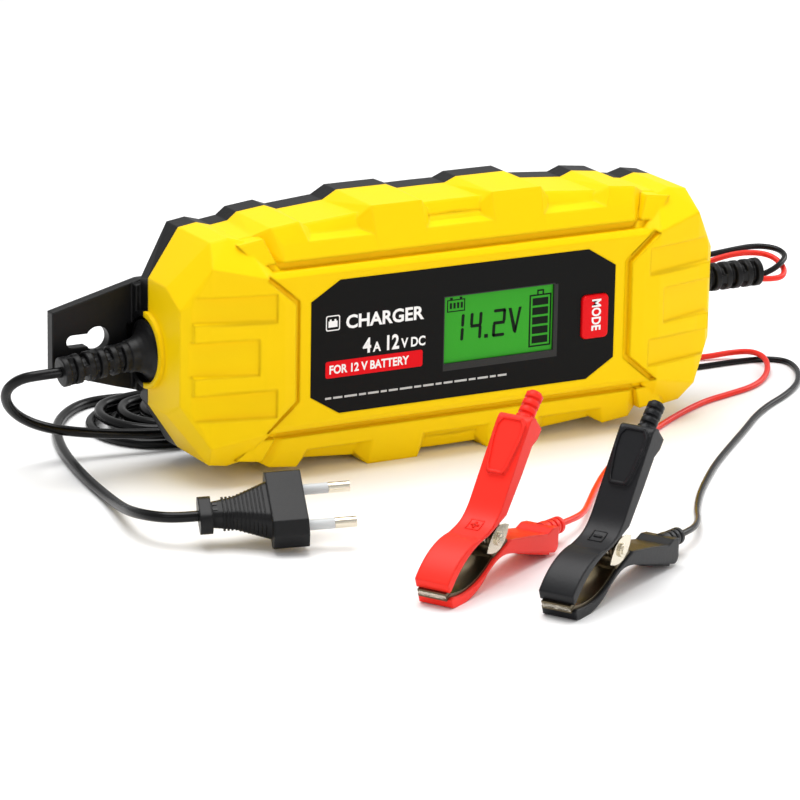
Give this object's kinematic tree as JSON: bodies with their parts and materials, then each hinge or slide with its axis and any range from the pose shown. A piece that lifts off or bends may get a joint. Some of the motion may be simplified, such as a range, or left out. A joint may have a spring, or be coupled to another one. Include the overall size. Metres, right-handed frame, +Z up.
{
  "type": "car battery charger",
  "caption": "Hand-sized car battery charger with a faceted two-part housing, display, push button, hanging tab, mains lead with plug and two clamp leads.",
  "frame": {"origin": "middle of the housing and its two glands and hanging tab, seen from above, on the surface that the housing stands on", "axes": "+Z up; the label faces -Y; +X runs along the housing from the mains side to the clamp leads side"},
  "size_m": [0.3614, 0.3151, 0.1024],
  "materials": {
    "yellow_housing": "semi-matt moulded plastic",
    "black_housing": "semi-matt moulded plastic",
    "black_cable": "smooth flexible cable sheath",
    "red_cable": "smooth flexible cable sheath",
    "red_grip": "semi-matt moulded plastic",
    "black_grip": "semi-matt moulded plastic",
    "nickel_steel": "nickel plated steel",
    "pin_sleeve": "grey insulating sleeve",
    "label_black": "smooth printed film",
    "button_red": "glossy plastic",
    "clear_lens": "clear glossy window",
    "lcd_green": "backlit liquid crystal",
    "circuit_board": "solder mask",
    "component_black": "moulded component body",
    "winding_copper": "enamelled copper wire",
    "winding_tape": "insulating tape",
    "capacitor_sleeve": "shrink sleeve",
    "sink_aluminium": "extruded aluminium",
    "fuse_glass": "glass fuse with metal caps",
    "seal_rubber": "soft seal"
  },
  "bodies": {
    "charger": {"black_clamp_spring": "nickel_steel", "black_lead_coil": "black_cable", "black_lead_end": "black_cable", "black_lead_start": "black_cable", "black_lower_handle": "black_grip", "black_lower_jaw": "nickel_steel", "black_pivot_pin": "nickel_steel", "board_header": "component_black", "board_screws": "nickel_steel", "case_screws": "nickel_steel", "dc_gland": "black_housing", "display_backlight": "lcd_green", "display_board": "circuit_board", "display_glass": "lcd_green", "display_label": "label_black", "display_lens": "clear_lens", "filter_choke": "winding_copper", "front_shell": "yellow_housing", "heat_sink": "sink_aluminium", "line_fuse": "fuse_glass", "main_board": "circuit_board", "mains_capacitor": "winding_tape", "mains_cord_coil": "black_cable", "mains_cord_end": "black_cable", "mains_cord_start": "black_cable", "mains_gland": "black_housing", "mode_switch": "component_black", "output_capacitors": "capacitor_sleeve", "plug_body": "black_housing", "plug_pin_sleeves": "pin_sleeve", "plug_pins": "nickel_steel", "power_transistors": "component_black", "rear_shell": "black_housing", "red_clamp_spring": "nickel_steel", "red_lead_coil": "red_cable", "red_lead_end": "red_cable", "red_lead_start": "red_cable", "red_lower_handle": "red_grip", "red_lower_jaw": "nickel_steel", "red_pivot_pin": "nickel_steel", "shell_seal": "seal_rubber", "smoothing_capacitor": "capacitor_sleeve", "transformer_core": "component_black", "transformer_winding": "winding_tape"},
    "mode_key": {"mode_button": "button_red", "switch_plunger": "component_black"},
    "red_clamp_top": {"red_upper_handle": "red_grip", "red_upper_jaw": "nickel_steel"},
    "black_clamp_top": {"black_upper_handle": "black_grip", "black_upper_jaw": "nickel_steel"}
  },
  "joints": [
    {"name": "mode_press", "type": "slide", "parent": "charger", "child": "mode_key", "axis": [0, 1, 0], "range_m": [0, 0.0008], "stiffness_N_per_m": 600, "springref_m": -0.002},
    {"name": "red_clamp_open", "type": "hinge", "parent": "charger", "child": "red_clamp_top", "pos_m": [-0.0707, -0.15909, 0.01731], "axis": [-0.5, 0.866, 0], "range_deg": [0, 30], "stiffness_Nm_per_rad": 0.4, "springref_deg": -45.84, "deforming": ["red_clamp_spring"]},
    {"name": "black_clamp_open", "type": "hinge", "parent": "charger", "child": "black_clamp_top", "pos_m": [-0.0382, -0.18909, 0.01731], "axis": [-0.5, 0.866, 0], "range_deg": [0, 30], "stiffness_Nm_per_rad": 0.4, "springref_deg": -45.84, "deforming": ["black_clamp_spring"]}
  ]
}
